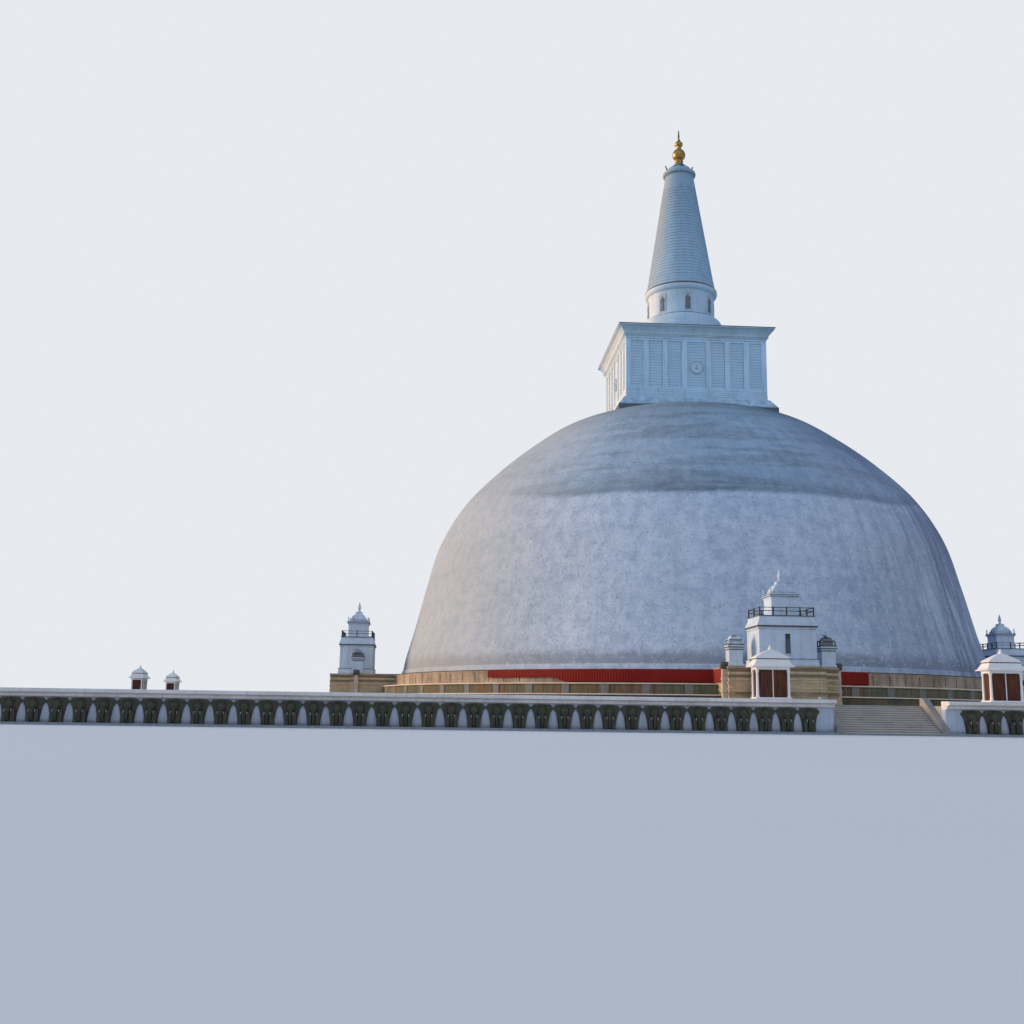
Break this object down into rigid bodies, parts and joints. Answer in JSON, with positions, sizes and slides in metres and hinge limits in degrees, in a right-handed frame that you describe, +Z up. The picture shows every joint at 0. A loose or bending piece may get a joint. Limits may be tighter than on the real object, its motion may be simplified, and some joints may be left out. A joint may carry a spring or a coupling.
{
  "type": "great brick stupa, 1:10 scale model",
  "caption": "Whitewashed domed brick stupa with a square chamber, ringed spire and gilt pinnacle on a square terrace with an elephant wall, as a 1:10 scale model.",
  "frame": {"origin": "on the ground in the middle of the square terrace, under the spire", "axes": "+Z up, the axis of the dome and spire; -Y is the front of the picture, +X to its right; each side of the square faces an axis"},
  "size_m": [17.04, 17.04, 10.3],
  "materials": {
    "paving": "sandy stone paving on an earth and brick fill, matte",
    "basal_stone": "weathered grey-brown stone and plaster, matte",
    "dome_plaster": "weathered whitewash over lime plaster on brick, matte",
    "white_plaster": "whitewashed lime plaster, matte",
    "wall_plaster": "whitewashed plaster with dark painted elephants, matte",
    "stair_stone": "worn granite steps, matte",
    "front_stone": "weathered brown and yellow limestone courses, matte",
    "gilt": "gilded metal, satin",
    "red_cloth": "plain red cotton cloth"
  },
  "bodies": {
    "root": {"terrace": "paving", "basal_terrace_lower": "basal_stone", "basal_terrace_middle": "basal_stone", "basal_terrace_upper": "basal_stone", "dome": "dome_plaster", "chamber_plinth": "white_plaster", "chamber_body": "white_plaster", "chamber_cornice": "white_plaster", "drum_base": "white_plaster", "drum": "white_plaster", "drum_ring": "white_plaster", "spire": "white_plaster", "spire_rim": "white_plaster", "pinnacle_cap": "white_plaster", "pinnacle_ball": "gilt", "pinnacle_spike": "gilt", "offering_cloth": "red_cloth", "offering_cloth_right": "red_cloth", "elephant_wall_front": "wall_plaster", "stairs_front": "stair_stone", "frontispiece_front": "front_stone", "frontispiece_tower_front": "white_plaster", "pavilion_front_left": "white_plaster", "pavilion_roof_front_left": "white_plaster", "pavilion_front_right": "white_plaster", "pavilion_roof_front_right": "white_plaster", "elephant_wall_right": "wall_plaster", "stairs_right": "stair_stone", "frontispiece_right": "front_stone", "frontispiece_tower_right": "white_plaster", "pavilion_right_left": "white_plaster", "pavilion_roof_right_left": "white_plaster", "pavilion_right_right": "white_plaster", "pavilion_roof_right_right": "white_plaster", "elephant_wall_back": "wall_plaster", "stairs_back": "stair_stone", "frontispiece_back": "front_stone", "frontispiece_tower_back": "white_plaster", "pavilion_back_left": "white_plaster", "pavilion_roof_back_left": "white_plaster", "pavilion_back_right": "white_plaster", "pavilion_roof_back_right": "white_plaster", "elephant_wall_left": "wall_plaster", "stairs_left": "stair_stone", "frontispiece_left": "front_stone", "frontispiece_tower_left": "white_plaster", "pavilion_left_left": "white_plaster", "pavilion_roof_left_left": "white_plaster", "pavilion_left_right": "white_plaster", "pavilion_roof_left_right": "white_plaster"}
  },
  "joints": []
}
